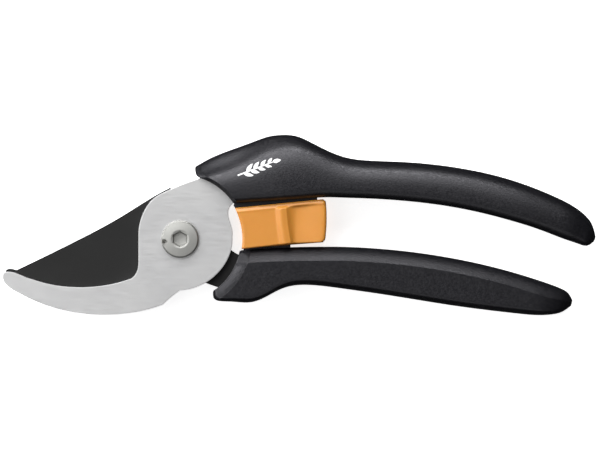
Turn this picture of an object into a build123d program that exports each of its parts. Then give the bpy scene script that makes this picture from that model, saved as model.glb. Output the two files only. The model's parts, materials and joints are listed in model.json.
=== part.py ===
from build123d import *

import os
from math import cos, radians, sin, tan

# Bypass pruner, closed, lying on its back.
# Two levers cross at one pivot. The front lever is the hook blade with the upper handle;
# the rear lever is the cutting blade with the lower handle. A coil spring between the
# handles opens the tool, and a catch that slides under the upper handle locks it shut.
#
# Frame, in millimetres: the origin is where the pivot axis meets the surface that the tool
# lies on. +X runs from the pivot towards the handle ends, +Y towards the upper handle and
# +Z along the pivot axis, up to the side with the bolt's head.

os.makedirs("parts", exist_ok=True)

# ---------------------------------------------------------------- driving dimensions
half_thickness = 9.5  # handles, each side of the plane where the two blades meet
meeting = half_thickness  # height of that plane
plate = 3.0  # thickness of each blade
sliding_gap = 0.02  # each side of a pair of faces that slide on each other
blade_bottom = meeting - plate
hook_top = meeting + plate

shoulder_r = 4.0  # smooth shoulder of the bolt, which both blades turn on
thread_r = 3.0
bore_clearance = 0.05
head_r = 6.7
head_height = 2.6
head_rim = 1.4  # height of the head's edge
socket_across = 5.0  # hexagon key size
socket_depth = 2.2
bolt_end = 1.0
bolt_chamfer = 0.5
shoulder_recess = 0.3  # how far the shoulder stops short of the blade's back
nut_cap = 0.8  # thickness of its closed end
nut_across = 13.0
washer_r = 7.5
washer_thickness = 0.6
washer_stack = 1.3  # both washers together, pressed flat
spring_washer_r = 6.8
spring_washer_thickness = 0.4

hollow_r = 23.0  # hollow end of the upper handle
lower_hollow_r = 21.6  # hollow end of the lower handle, below its bevel
bevel_r = 25.1  # outer edge of that bevel, on the front face
bevel_height = 3.6
end_bevel = 1.8  # the same on the upper handle's hollow end
blade_hub_r = 15.5
stop_lip_r = 15.9
stop_lobe_r = 18.7
stop_lip_angle = 72.0  # direction of the stop face on the upper handle
stop_lip_root = 38.0  # direction where the lip ends, well inside the handle
opening_angle = 28.0
stop_spare_angle = 0.9

spring_x = 31.0
spring_r = 2.95  # to the middle of the wire
wire_r = 0.6
spring_turns = 9
spring_low = -5.3  # floor of the pocket in the lower handle
spring_high = 17.3  # roof of the pocket in the upper handle
pocket_r = 4.0
post_r = 1.9
post_height = 4.0
spring_clearance = 0.05  # at each end

slide_slope = tan(radians(5.0))  # the catch slides along this slope
tongue_left = 20.0
tongue_right = 49.2
tongue_bottom = 8.0  # at its left end
tongue_height = 6.0
tongue_half = 5.0
tower_left = 22.6
tower_right = 39.3
tower_foot = -7.0
tower_top = 1.8
tower_half = 3.8
slot_left = 36.6  # slot under the tower's lip
slot_floor = -1.9
slot_roof = 0.3

catch_end_r = 22.2
catch_inner = 5.5  # inner face of each catch wall, from the meeting plane
catch_low = 6.8  # outer face of the panel behind the ridge
catch_panel = 7.6
catch_ridge = 8.5
ridge_middle = 36.0
ridge_width = 4.3
web_left = 49.5
rib_inner = 4.2
rib_bottom = 9.6  # at the tongue's left end
rib_height = 1.2
rib_gap = 0.3
rib_root = 0.2  # how far the ribs and the bar reach into the walls
lock_bar = 2.6  # length of the bar along the catch

# ---------------------------------------------------------------- handle stations
crown_share = 0.55  # share of a handle's width over which its crown stays high
# Distance from the pivot, inner edge, outer edge, and how far the crowned and the flat side
# stand from the meeting plane.
upper_stations = [
    (5.3, 12.0, 25.6, 7.9, 9.5),
    (12.5, 12.3, 29.5, 8.4, 9.5),
    (20.0, 12.7, 32.3, 8.9, 9.5),
    (28.0, 13.2, 35.2, 9.3, 9.5),
    (35.5, 13.8, 37.2, 9.5, 9.5),
    (42.5, 14.5, 36.1, 9.5, 9.5),
    (50.0, 14.9, 32.6, 9.5, 9.5),
    (57.0, 14.9, 29.4, 9.5, 9.5),
    (65.0, 14.6, 28.1, 9.5, 9.5),
    (92.0, 12.1, 26.3, 9.5, 9.5),
    (106.0, 9.7, 23.9, 9.4, 9.5),
    (120.0, 6.0, 20.1, 9.2, 9.5),
    (132.0, 1.9, 15.4, 8.7, 9.5),
    (140.0, -1.1, 11.2, 7.8, 9.0),
    (144.5, -2.1, 7.6, 6.2, 7.6),
    (146.8, -1.6, 4.3, 4.0, 5.0),
    (148.2, -0.4, 1.2, 1.8, 2.0),
]
lower_stations = [
    (11.7, -4.2, -21.5, 7.9, 9.5),
    (19.0, -4.0, -22.4, 8.6, 9.5),
    (25.0, -3.6, -22.5, 9.1, 9.5),
    (31.0, -3.2, -20.2, 9.4, 9.5),
    (37.0, -3.0, -17.4, 9.5, 9.5),
    (43.0, -2.85, -16.4, 9.5, 9.5),
    (51.0, -2.8, -16.8, 9.5, 9.5),
    (64.0, -3.1, -18.4, 9.5, 9.5),
    (78.0, -4.2, -20.7, 9.5, 9.5),
    (92.0, -6.0, -23.1, 9.5, 9.5),
    (106.0, -8.9, -24.9, 9.4, 9.5),
    (118.0, -11.8, -26.4, 9.2, 9.5),
    (127.0, -14.5, -27.3, 8.6, 9.4),
    (133.5, -16.9, -26.7, 7.4, 8.6),
    (137.4, -19.1, -25.1, 5.2, 6.6),
    (139.9, -22.2, -23.2, 1.8, 2.2),
]


def on_circle(radius, degrees):
    """Point at that distance and direction from the pivot."""
    return (radius * cos(radians(degrees)), radius * sin(radians(degrees)))


def handle_section(station, side):
    """Face across a handle that grows from its inner edge towards +Y (side 1) or -Y (side -1).

    The crowned side faces the same way as `side` along Z. It is one smooth curve. The flat
    side has a rounded shoulder next to the inner edge, which meets the flat at a crease.
    """
    x, inner, outer, crowned, flat = station
    width = abs(outer - inner)
    inner_round = min(3.0, 0.25 * width)
    outer_round = min(2.6, 0.2 * width)
    crease = min(5.0, 0.36 * width)
    shoulder = min(6.5, 0.68 * flat)

    def at(across, height):
        return (inner + side * across, meeting + side * height)

    with BuildSketch(Plane.YZ.offset(x)) as section:
        with BuildLine():
            Line(at(0, shoulder - flat), at(0, crowned - inner_round))
            Bezier(
                at(0, crowned - inner_round),
                at(0, crowned - 0.45 * inner_round),
                at(0.45 * inner_round, crowned),
                at(inner_round, crowned),
            )
            Bezier(
                at(inner_round, crowned),
                at(crown_share * width, crowned),
                at(width, 0.76 * crowned),
                at(width, 0),
            )
            Bezier(
                at(width, 0),
                at(width, -0.62 * flat),
                at(width - 0.2 * outer_round, -flat),
                at(width - outer_round, -flat),
            )
            Line(at(width - outer_round, -flat), at(crease, -flat))
            Bezier(
                at(crease, -flat),
                at(0.6 * crease, 0.24 * shoulder - flat),
                at(0, 0.55 * shoulder - flat),
                at(0, shoulder - flat),
            )
        make_face()
    return section.sketch


# ---------------------------------------------------------------- blades
# The hook blade is one plate from its tip to the tang inside the upper handle.
with BuildPart() as hook_plate:
    with BuildSketch(Plane.XY.offset(meeting + sliding_gap)):
        with BuildLine():
            nose = Spline((-62.2, -11.7), (-59.8, -11.8), (-57.6, -12.5), (-52.8, -14.3))
            jaw = Spline(nose @ 1, (-44.4, -16.5), (-36.3, -17.2), (-25.5, -16.3), (-17.8, -14.2))
            hub_left = Spline(jaw @ 1, (-15.7, -12.2), (-14.8, -8.2), tangents=[(3.6, 1.4), (0, 1)])
            straight = Line(hub_left @ 1, (-14.8, 1.5))
            hub_top = Spline(
                straight @ 1,
                (-12.5, 10.5),
                (-10.4, 13.5),
                (-7.2, 15.9),
                (-2.7, 18.0),
                (0, 19.1),
                tangents=[(0, 1), (2.4, 1)],
            )
            tang_top = Spline(
                hub_top @ 1,
                (7.1, 21.7),
                (18.0, 26.4),
                (32.0, 29.0),
                (56.0, 25.6),
                tangents=[(2.4, 1), (4, -0.8)],
            )
            tang_end = ThreePointArc(tang_top @ 1, (58.4, 22.8), (56.0, 20.4))
            tang_low = Spline(tang_end @ 1, (40.0, 20.3), (28.0, 18.9), (18.9, 12.8))
            neck = Spline(tang_low @ 1, (17.1, 9.0), (17.9, 5.6), (18.6, 1.0))
            hub_low = Spline(neck @ 1, (17.4, -6.1), (13.0, -12.5), (7.1, -16.6), (0, -18.3))
            notch = Spline(hub_low @ 1, (-2.4, -20.0), (-6.2, -23.4))
            belly = Spline(notch @ 1, (-14.2, -25.7), (-28.5, -26.9), (-42.0, -25.2), (-53.2, -21.3))
            back = Spline(belly @ 1, (-57.2, -19.3), (-60.7, -17.2), tangents=[belly % 1, (-1.1, 0.9)])
            Spline(back @ 1, (-63.1, -14.2), nose @ 0, tangents=[back % 1, (1.5, 0.6)])
        make_face()
    extrude(amount=plate - sliding_gap)
    with Locations((0, 0, hook_top)):
        Hole(shoulder_r + bore_clearance)
hook_plate.part.label = "hook_plate"
export_step(hook_plate.part, "parts/hook_plate.step")


def blade_outline(height, heel, belly):
    """Face of the cutting blade at a height, with its edge through the heel and belly points.

    Its lobe above the hub meets the stop lip when the tool is open.
    """
    lobe = stop_lip_angle + opening_angle + stop_spare_angle
    with BuildSketch(Plane.XY.offset(height)) as outline:
        with BuildLine():
            beak = Spline((-62.3, -12.1), (-62.0, -11.0), (-60.8, -10.6), (-59.6, -10.8), (-58.4, -11.1))
            lobe_tip = on_circle(stop_lobe_r, lobe)
            spine = Spline(beak @ 1, (-46.8, -5.5), (-34.0, 0.9), (-21.2, 7.9), (-9.4, 15.2), lobe_tip)
            lobe_face = Line(spine @ 1, on_circle(blade_hub_r, lobe))
            hub = ThreePointArc(lobe_face @ 1, on_circle(blade_hub_r, 45), on_circle(blade_hub_r, -4))
            tang_top = Spline(hub @ 1, (20.8, -5.6), (29.0, -7.4), (54.0, -6.4))
            tang_end = ThreePointArc(tang_top @ 1, (56.8, -9.4), (54.0, -12.4))
            tang_low = Spline(tang_end @ 1, (38.0, -13.4), (24.0, -18.6), (12.7, -17.0), (6.0, -14.3))
            hub_low = ThreePointArc(tang_low @ 1, on_circle(blade_hub_r, -95), heel)
            Spline(hub_low @ 1, *belly, beak @ 0)
        make_face()
    return outline.sketch


# The cutting blade lies behind the hook blade. Its face on that side is flat, and the other
# side is ground back from the edge.
edge_belly = [(-24.0, -19.6), (-35.0, -20.4), (-46.0, -18.3), (-54.5, -15.2)]
ground_belly = [(-24.0, -13.4), (-35.0, -14.2), (-46.0, -13.1), (-54.5, -12.2)]
edge_land = 0.3
with BuildPart() as cutting_blade:
    land_bottom = meeting - sliding_gap - edge_land
    with BuildSketch(Plane.XY.offset(land_bottom)):
        add(blade_outline(0, (-13.0, -14.6), edge_belly))
    extrude(amount=edge_land)
    loft(
        [
            blade_outline(blade_bottom, (-13.4, -7.8), ground_belly),
            blade_outline(land_bottom, (-13.0, -14.6), edge_belly),
        ],
        ruled=True,
    )
    with Locations((0, 0, meeting)):
        Hole(shoulder_r + bore_clearance)
cutting_blade.part.label = "cutting_blade"
export_step(cutting_blade.part, "parts/cutting_blade.step")


# ---------------------------------------------------------------- handles
def spring_pocket(floor, mouth):
    """Cuts the spring's pocket along Y and leaves the post that the spring sits on."""
    depth = mouth - floor
    post = post_height if depth > 0 else -post_height
    with BuildSketch(Plane.XZ.offset(-floor)) as pocket:
        with Locations((spring_x, meeting)):
            Circle(pocket_r)
            Circle(post_r, mode=Mode.SUBTRACT)
    extrude(pocket.sketch, amount=-depth, mode=Mode.SUBTRACT)
    with BuildSketch(Plane.XZ.offset(-floor - post)) as above_post:
        with Locations((spring_x, meeting)):
            Circle(pocket_r)
    extrude(above_post.sketch, amount=post - depth, mode=Mode.SUBTRACT)


def hollow(radius, bevel_edge, height):
    """Cuts a handle's round hollow end about the pivot, bevelled on the front face."""
    front = 2 * half_thickness
    with BuildSketch(Plane.XZ) as section:
        with BuildLine():
            Polyline(
                (0, -half_thickness),
                (radius, -half_thickness),
                (radius, front - height),
                (bevel_edge, front),
                (bevel_edge, front + half_thickness),
                (0, front + half_thickness),
                close=True,
            )
        make_face()
    revolve(section.sketch, axis=Axis.Z, mode=Mode.SUBTRACT)


def sloped_bar(left, right, bottom, height):
    """Outline of a bar along the catch's slope; `bottom` is its height at the tongue's left end."""
    low = bottom + slide_slope * (left - tongue_left)
    high = bottom + slide_slope * (right - tongue_left)
    Polygon((left, low), (right, high), (right, high + height), (left, low + height), align=None)


# Upper handle: crowned in front, creased behind. A tongue under it carries the catch, and a
# lip beside the cutting blade's hub stops the opening.
with BuildPart() as upper_handle:
    loft([handle_section(station, 1) for station in upper_stations])
    hollow(hollow_r, hollow_r + end_bevel, end_bevel)
    with BuildSketch(Plane.XY.offset(meeting - tongue_half)):
        sloped_bar(tongue_left, tongue_right, tongue_bottom, tongue_height)
        Circle(hollow_r - 1.5, mode=Mode.SUBTRACT)
    extrude(amount=2 * tongue_half)
    with BuildSketch(Plane.XY.offset(blade_bottom - 1.0)):
        with BuildLine():
            lip_in = CenterArc((0, 0), stop_lip_r, stop_lip_root, stop_lip_angle - stop_lip_root)
            lip_face = Line(lip_in @ 1, on_circle(hollow_r + 0.5, stop_lip_angle))
            lip_out = CenterArc((0, 0), hollow_r + 0.5, stop_lip_root, stop_lip_angle - stop_lip_root)
            Line(lip_out @ 0, lip_in @ 0)
        make_face()
    extrude(amount=plate + 1.0)
    spring_pocket(spring_high, tongue_bottom - 1.0)
    for face in (-1, 1):
        groove = Plane.XY.offset(meeting + face * 0.5 * (tongue_half + rib_inner - rib_gap))
        with BuildSketch(groove):
            sloped_bar(tongue_left - 5, tongue_right + 5, rib_bottom - rib_gap, rib_height + 2 * rib_gap)
        extrude(amount=0.5 * (tongue_half - rib_inner + rib_gap), both=True, mode=Mode.SUBTRACT)
    add(hook_plate.part, mode=Mode.SUBTRACT)
upper_handle.part.label = "upper_handle"
export_step(upper_handle.part, "parts/upper_handle.step")

# Lower handle: creased in front, crowned behind. Its tower holds the spring and has the lip
# that the catch's bar goes under.
with BuildPart() as lower_handle:
    loft([handle_section(station, -1) for station in lower_stations])
    hollow(lower_hollow_r, bevel_r, bevel_height)
    with BuildSketch(Plane.XY.offset(meeting - tower_half)):
        with Locations((tower_left, tower_foot)):
            Rectangle(tower_right - tower_left, tower_top - tower_foot, align=Align.MIN)
        with Locations((slot_left, slot_floor)):
            Rectangle(tower_right - slot_left, slot_roof - slot_floor, align=Align.MIN, mode=Mode.SUBTRACT)
    extrude(amount=2 * tower_half)
    spring_pocket(spring_low, tower_top + 1.0)
    add(cutting_blade.part, mode=Mode.SUBTRACT)
lower_handle.part.label = "lower_handle"
export_step(lower_handle.part, "parts/lower_handle.step")


# ---------------------------------------------------------------- catch
# A moulded channel, open towards the pivot. Its two walls stand either side of the tongue and
# the tower, ribs inside them run in the tongue's grooves, and a web joins them at the back.
def catch_outline():
    """Outline of the catch seen along the pivot axis."""
    high_left, low_left = on_circle(catch_end_r, 28.3), on_circle(catch_end_r, -8.9)
    left = ThreePointArc(high_left, on_circle(catch_end_r, 10), low_left)
    low_bend = Line(left @ 1, (39.3, -1.6))
    low_right = Line(low_bend @ 1, (50.2, -1.2))
    corner_low = ThreePointArc(low_right @ 1, (51.3, -0.8), (51.8, 0.3))
    right = ThreePointArc(corner_low @ 1, (52.4, 6.6), (52.0, 12.4))
    corner_high = ThreePointArc(right @ 1, (51.5, 13.5), (50.4, 13.8))
    Line(corner_high @ 1, left @ 0)


def bent_band(left_low, left_high, width):
    """Outline of the thumb ridge, which leans a little along its height."""
    low, high = -6.0, 16.0
    bow = 0.5 * (left_low + left_high) - 0.5
    left = ThreePointArc((left_low, low), (bow, 4.0), (left_high, high))
    top = Line(left @ 1, (left_high + width, high))
    right = ThreePointArc(top @ 1, (bow + width, 4.0), (left_low + width, low))
    Line(right @ 1, left @ 0)


with BuildPart() as catch:
    with BuildSketch(Plane.XY.offset(meeting - catch_low)):
        with BuildLine():
            catch_outline()
        make_face()
    extrude(amount=2 * catch_low)
    with BuildSketch(Plane.XY.offset(meeting - catch_panel)):
        with BuildLine():
            catch_outline()
        make_face()
        with Locations((ridge_middle, 0)):
            Rectangle(2 * web_left, 2 * web_left, align=(Align.MIN, Align.CENTER), mode=Mode.SUBTRACT)
    extrude(amount=2 * catch_panel)
    with BuildSketch(Plane.XY.offset(meeting - catch_ridge)):
        with BuildLine():
            catch_outline()
        make_face()
        with BuildLine():
            bent_band(ridge_middle - 0.4, ridge_middle - 3.0, ridge_width)
        make_face(mode=Mode.INTERSECT)
    extrude(amount=2 * catch_ridge)
    with BuildSketch(Plane.XY.offset(meeting - catch_inner)):
        Rectangle(web_left, 2 * web_left, align=(Align.MIN, Align.CENTER))
    extrude(amount=2 * catch_inner, mode=Mode.SUBTRACT)
    for face in (-1, 1):
        rib = Plane.XY.offset(meeting + face * 0.5 * (catch_inner + rib_root + rib_inner))
        with BuildSketch(rib):
            sloped_bar(tongue_left + 2.0, web_left - 2.0, rib_bottom, rib_height)
        extrude(amount=0.5 * (catch_inner + rib_root - rib_inner), both=True)
    with BuildSketch(Plane.XY.offset(meeting - catch_inner - rib_root)):
        with Locations((tower_right + rib_gap, slot_floor + 1.5 * rib_gap)):
            Rectangle(lock_bar, slot_roof - slot_floor - 2.5 * rib_gap, align=Align.MIN)
    extrude(amount=2 * (catch_inner + rib_root))
catch.part.label = "catch"
export_step(catch.part, "parts/catch.step")


# ---------------------------------------------------------------- pivot, stacked from the front
socket_r = 0.5 * socket_across
with BuildPart() as pivot_bolt:
    with BuildSketch(Plane.XZ):
        with BuildLine():
            stem = Polyline(
                (0, bolt_end),
                (thread_r - bolt_chamfer, bolt_end),
                (thread_r, bolt_end + bolt_chamfer),
                (thread_r, blade_bottom - shoulder_recess),
                (shoulder_r, blade_bottom - shoulder_recess),
                (shoulder_r, hook_top),
                (head_r - bolt_chamfer, hook_top),
                (head_r, hook_top + bolt_chamfer),
                (head_r, hook_top + head_rim),
            )
            dome = ThreePointArc(
                stem @ 1,
                (0.72 * head_r, hook_top + 0.86 * head_height),
                (socket_r + bolt_chamfer, hook_top + head_height),
            )
            Polyline(dome @ 1, (0, hook_top + head_height), (0, bolt_end))
        make_face()
    revolve(axis=Axis.Z)
    with BuildSketch(Plane.XY.offset(hook_top + head_height)):
        RegularPolygon(socket_r, 6, major_radius=False)
    extrude(amount=-socket_depth, mode=Mode.SUBTRACT)
pivot_bolt.part.label = "pivot_bolt"
export_step(pivot_bolt.part, "parts/pivot_bolt.step")

washer_bottom = blade_bottom - washer_stack
with BuildPart() as pivot_washer:
    with BuildSketch(Plane.XY.offset(washer_bottom)):
        Circle(washer_r)
        Circle(thread_r + bore_clearance, mode=Mode.SUBTRACT)
    extrude(amount=washer_thickness)
pivot_washer.part.label = "pivot_washer"
export_step(pivot_washer.part, "parts/pivot_washer.step")

# The spring washer is a shallow cone whose rim bears on the plain washer.
cone_bottom = washer_bottom + washer_thickness
cone_top = blade_bottom - 2 * sliding_gap
with BuildPart() as spring_washer:
    with BuildSketch(Plane.XZ):
        with BuildLine():
            Polyline(
                (shoulder_r + bore_clearance, cone_top - spring_washer_thickness),
                (spring_washer_r, cone_bottom),
                (spring_washer_r, cone_bottom + spring_washer_thickness),
                (shoulder_r + bore_clearance, cone_top),
                close=True,
            )
        make_face()
    revolve(axis=Axis.Z)
spring_washer.part.label = "spring_washer"
export_step(spring_washer.part, "parts/spring_washer.step")

with BuildPart() as pivot_nut:
    with BuildSketch(Plane.XY):
        RegularPolygon(0.5 * nut_across, 6, major_radius=False)
    extrude(amount=washer_bottom)
    with BuildSketch(Plane.XZ):
        with BuildLine():
            Polyline(
                (0.48 * nut_across, 0),
                (0.62 * nut_across, 0),
                (0.62 * nut_across, 1.0),
                close=True,
            )
        make_face()
    revolve(axis=Axis.Z, mode=Mode.SUBTRACT)
    with BuildSketch(Plane.XY.offset(nut_cap)):
        Circle(thread_r + bore_clearance)
    extrude(amount=washer_bottom, mode=Mode.SUBTRACT)
pivot_nut.part.label = "pivot_nut"
export_step(pivot_nut.part, "parts/pivot_nut.step")

# ---------------------------------------------------------------- spring
# Closed length, from the floor of one pocket to the roof of the other.
coil_height = spring_high - spring_low - 2 * (wire_r + spring_clearance)
with BuildPart() as return_spring:
    with BuildLine():
        coil = Helix(
            pitch=coil_height / spring_turns,
            height=coil_height,
            radius=spring_r,
            center=(spring_x, spring_low + wire_r + spring_clearance, meeting),
            direction=(0, 1, 0),
        )
    with BuildSketch(Plane(origin=coil @ 0, z_dir=coil % 0)):
        Circle(wire_r)
    sweep()
return_spring.part.label = "return_spring"
export_step(return_spring.part, "parts/return_spring.step")
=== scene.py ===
import json
from math import atan2, cos, pi, radians, sin, sqrt

import bmesh
import bpy
import numpy as np
from mathutils import Matrix, Vector
from mathutils.bvhtree import BVHTree


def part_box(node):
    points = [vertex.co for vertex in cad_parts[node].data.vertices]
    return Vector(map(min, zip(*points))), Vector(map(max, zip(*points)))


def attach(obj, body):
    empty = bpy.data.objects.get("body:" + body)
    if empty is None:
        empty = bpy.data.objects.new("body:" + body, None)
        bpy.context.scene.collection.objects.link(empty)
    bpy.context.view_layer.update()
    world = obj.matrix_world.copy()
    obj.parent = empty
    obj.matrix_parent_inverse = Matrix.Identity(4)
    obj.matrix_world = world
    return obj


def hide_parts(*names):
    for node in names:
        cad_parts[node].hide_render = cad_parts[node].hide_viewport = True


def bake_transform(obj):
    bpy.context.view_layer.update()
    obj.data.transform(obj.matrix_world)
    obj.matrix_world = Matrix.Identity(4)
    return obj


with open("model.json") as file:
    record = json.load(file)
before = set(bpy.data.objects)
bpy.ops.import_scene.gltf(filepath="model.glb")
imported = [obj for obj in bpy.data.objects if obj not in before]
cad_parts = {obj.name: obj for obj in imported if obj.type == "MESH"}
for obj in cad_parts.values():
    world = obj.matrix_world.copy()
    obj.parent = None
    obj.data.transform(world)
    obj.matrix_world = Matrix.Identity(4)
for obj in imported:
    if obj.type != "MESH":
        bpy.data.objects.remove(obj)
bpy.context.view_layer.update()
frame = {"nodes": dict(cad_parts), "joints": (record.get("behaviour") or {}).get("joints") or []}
nodes = frame["nodes"]
scene = bpy.context.scene
mm = 0.001


# ---------------------------------------------------------------- sizes read from the frame
def low(node, axis):
    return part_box(node)[0][axis] / mm


def high(node, axis):
    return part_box(node)[1][axis] / mm


meeting = 0.5 * (high("cutting_blade", 2) + low("hook_plate", 2))
hook_top = high("hook_plate", 2)
blade_bottom = low("cutting_blade", 2)
head_r = high("pivot_bolt", 0)
head_top = high("pivot_bolt", 2)
spring_low = low("return_spring", 1)
spring_high = high("return_spring", 1)
spring_outer = 0.5 * (high("return_spring", 0) - low("return_spring", 0))
spring_x = 0.5 * (high("return_spring", 0) + low("return_spring", 0))
catch_half = 0.5 * (high("catch", 2) - low("catch", 2))
slide = frame["joints"][1]["axis"]
slide_slope = slide[1] / slide[0]


# ---------------------------------------------------------------- shared shape tools
def fair_curve(places, values):
    """Smooth curve through the rows of `values`, as a function of place."""
    places = np.asarray(places, float)
    values = np.asarray(values, float)
    gaps = np.diff(places)
    slopes = np.diff(values, axis=0) / gaps[:, None]
    system = np.eye(len(places))
    right = np.zeros(values.shape)
    for i in range(1, len(places) - 1):
        system[i, i - 1 : i + 2] = gaps[i - 1], 2 * (gaps[i - 1] + gaps[i]), gaps[i]
        right[i] = 6 * (slopes[i] - slopes[i - 1])
    bend = np.linalg.solve(system, right)

    def at(place):
        i = int(np.clip(np.searchsorted(places, place, side="right") - 1, 0, len(gaps) - 1))
        gap = gaps[i]
        before = (places[i + 1] - place) / gap
        after = 1 - before
        curved = (before**3 - before) * bend[i] + (after**3 - after) * bend[i + 1]
        return before * values[i] + after * values[i + 1] + curved * gap * gap / 6

    return at


def bezier(a, b, c, d, count):
    """`count` points of a cubic from a, the last one left out."""
    a, b, c, d = (np.asarray(p, float) for p in (a, b, c, d))
    t = np.linspace(0, 1, count, endpoint=False)[:, None]
    return a * (1 - t) ** 3 + 3 * b * t * (1 - t) ** 2 + 3 * c * t * t * (1 - t) + d * t**3


def arc(radius, start, end, count, centre=(0, 0)):
    """Points of a circle's arc between two directions in degrees."""
    angles = np.radians(np.linspace(start, end, count))
    return np.column_stack([centre[0] + radius * np.cos(angles), centre[1] + radius * np.sin(angles)])


def outward(loop):
    """Unit normals of a closed loop that runs anticlockwise, pointing out of it."""
    after = np.roll(loop, -1, axis=0) - loop
    before = loop - np.roll(loop, 1, axis=0)
    after /= np.maximum(np.linalg.norm(after, axis=1), 1e-9)[:, None]
    before /= np.maximum(np.linalg.norm(before, axis=1), 1e-9)[:, None]
    along = after + before
    along /= np.maximum(np.linalg.norm(along, axis=1), 1e-9)[:, None]
    return np.column_stack([along[:, 1], -along[:, 0]])


def skin(rings, capped=True):
    """Points and faces of a tube through rings of equal length, closed at its ends if capped."""
    count = len(rings[0])
    points = [point for ring in rings for point in ring]
    faces = []
    for r in range(len(rings) - 1):
        for i in range(count):
            j = (i + 1) % count
            faces.append((r * count + i, r * count + j, (r + 1) * count + j, (r + 1) * count + i))
    if capped:
        faces.append(tuple(reversed(range(count))))
        faces.append(tuple(range((len(rings) - 1) * count, len(rings) * count)))
    return points, faces


def make_mesh(name, points, faces):
    """Object from points in millimetres, with its faces turned outwards."""
    mesh = bpy.data.meshes.new(name)
    mesh.from_pydata([tuple(float(c) * mm for c in point) for point in points], [], faces)
    shape = bmesh.new()
    shape.from_mesh(mesh)
    bmesh.ops.remove_doubles(shape, verts=shape.verts, dist=1e-7)
    bmesh.ops.recalc_face_normals(shape, faces=shape.faces)
    shape.to_mesh(mesh)
    shape.free()
    thing = bpy.data.objects.new(name, mesh)
    scene.collection.objects.link(thing)
    return thing


def prism(name, outline, bottom, top):
    """Straight prism on an outline, in millimetres."""
    rings = [[(x, y, z) for x, y in outline] for z in (bottom, top)]
    return make_mesh(name, *skin(rings))


def combine(thing, others, how):
    """Unites `thing` with others or cuts them out of it, and removes them."""
    for other in others:
        step = thing.modifiers.new("combine", "BOOLEAN")
        step.operation = how
        step.solver = "MANIFOLD"
        step.object = other
        settle(thing)
        bpy.data.objects.remove(other)


def settle(thing):
    """Turns a thing's modifiers into plain mesh."""
    graph = bpy.context.evaluated_depsgraph_get()
    mesh = bpy.data.meshes.new_from_object(thing.evaluated_get(graph))
    thing.modifiers.clear()
    thing.data = mesh


def smooth(thing, sharp_degrees=32):
    """Shades a thing smooth, and leaves edges sharper than this crisp."""
    thing.data.shade_smooth()
    thing.data.set_sharp_from_angle(angle=radians(sharp_degrees))


def finish_piece(thing, material, slot, body, *replaced):
    """Gives a piece its material and its body; `slot` is not used."""
    thing.data.materials.clear()
    thing.data.materials.append(material)
    if replaced:
        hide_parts(*replaced)
    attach(thing, body)
    return thing


# ---------------------------------------------------------------- materials
noise_middle = (0.3, 0.7)  # most of a noise lies between these


def new_material(name):
    """Empty material, its tree and its shader."""
    material = bpy.data.materials.new(name)
    material.use_nodes = True
    tree = material.node_tree
    tree.nodes.clear()
    output = tree.nodes.new("ShaderNodeOutputMaterial")
    shader = tree.nodes.new("ShaderNodeBsdfPrincipled")
    tree.links.new(shader.outputs[0], output.inputs[0])
    return material, tree, shader


def noise(tree, scale, detail, stretch=(1, 1, 1), turn=0.0):
    """Noise on the piece's own coordinates. `scale` is in lumps per metre."""
    place = tree.nodes.new("ShaderNodeTexCoord")
    mapping = tree.nodes.new("ShaderNodeMapping")
    mapping.inputs["Scale"].default_value = stretch
    mapping.inputs["Rotation"].default_value = (0, 0, turn)
    texture = tree.nodes.new("ShaderNodeTexNoise")
    texture.inputs["Scale"].default_value = scale
    texture.inputs["Detail"].default_value = detail
    texture.inputs["Roughness"].default_value = 0.55
    tree.links.new(place.outputs["Object"], mapping.inputs[0])
    tree.links.new(mapping.outputs[0], texture.inputs["Vector"])
    return texture.outputs["Fac"]


def spread(tree, source, from_low, from_high, to_low, to_high):
    """Maps a value from one range to another."""
    node = tree.nodes.new("ShaderNodeMapRange")
    sockets = ("From Min", "From Max", "To Min", "To Max")
    for socket, value in zip(sockets, (from_low, from_high, to_low, to_high)):
        node.inputs[socket].default_value = value
    tree.links.new(source, node.inputs["Value"])
    return node.outputs["Result"]


def tint(tree, source, low_colour, high_colour):
    """Colour that runs between two tones as `source` runs from 0 to 1."""
    node = tree.nodes.new("ShaderNodeMix")
    node.data_type = "RGBA"
    node.inputs["A"].default_value = (*low_colour, 1)
    node.inputs["B"].default_value = (*high_colour, 1)
    tree.links.new(source, node.inputs["Factor"])
    return node.outputs["Result"]


def bump(tree, shader, source, distance, strength, under=None):
    """Raises the surface by up to `distance` metres."""
    node = tree.nodes.new("ShaderNodeBump")
    node.inputs["Distance"].default_value = distance
    node.inputs["Strength"].default_value = strength
    tree.links.new(source, node.inputs["Height"])
    if under:
        tree.links.new(under, node.inputs["Normal"])
    tree.links.new(node.outputs[0], shader.inputs["Normal"])
    return node.outputs[0]


def patches(tree, scale, detail):
    """Noise whose middle range is stretched to run from 0 to 1."""
    return spread(tree, noise(tree, scale, detail), *noise_middle, 0, 1)


def colour(tree, shader, source, low_colour, high_colour):
    """Colours a finish between two tones."""
    tree.links.new(tint(tree, source, low_colour, high_colour), shader.inputs["Base Color"])


def sheen(tree, shader, source, low_roughness, high_roughness):
    """Varies how rough a finish is."""
    varied = spread(tree, source, *noise_middle, low_roughness, high_roughness)
    tree.links.new(varied, shader.inputs["Roughness"])


def moulded_black():
    """Black moulded plastic with a fine spark-eroded grain."""
    material, tree, shader = new_material("moulded_black")
    colour(tree, shader, patches(tree, 60, 3), (0.0024, 0.0024, 0.0034), (0.0036, 0.0036, 0.0048))
    sheen(tree, shader, noise(tree, 1300, 3), 0.29, 0.52)
    shader.inputs["Specular IOR Level"].default_value = 0.42
    shader.inputs["Specular Tint"].default_value = (0.95, 0.94, 1.0, 1)
    grain = bump(tree, shader, noise(tree, 5200, 2), 0.00003, 0.35)
    bump(tree, shader, noise(tree, 1700, 3), 0.0001, 0.6, under=grain)
    return material


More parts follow.
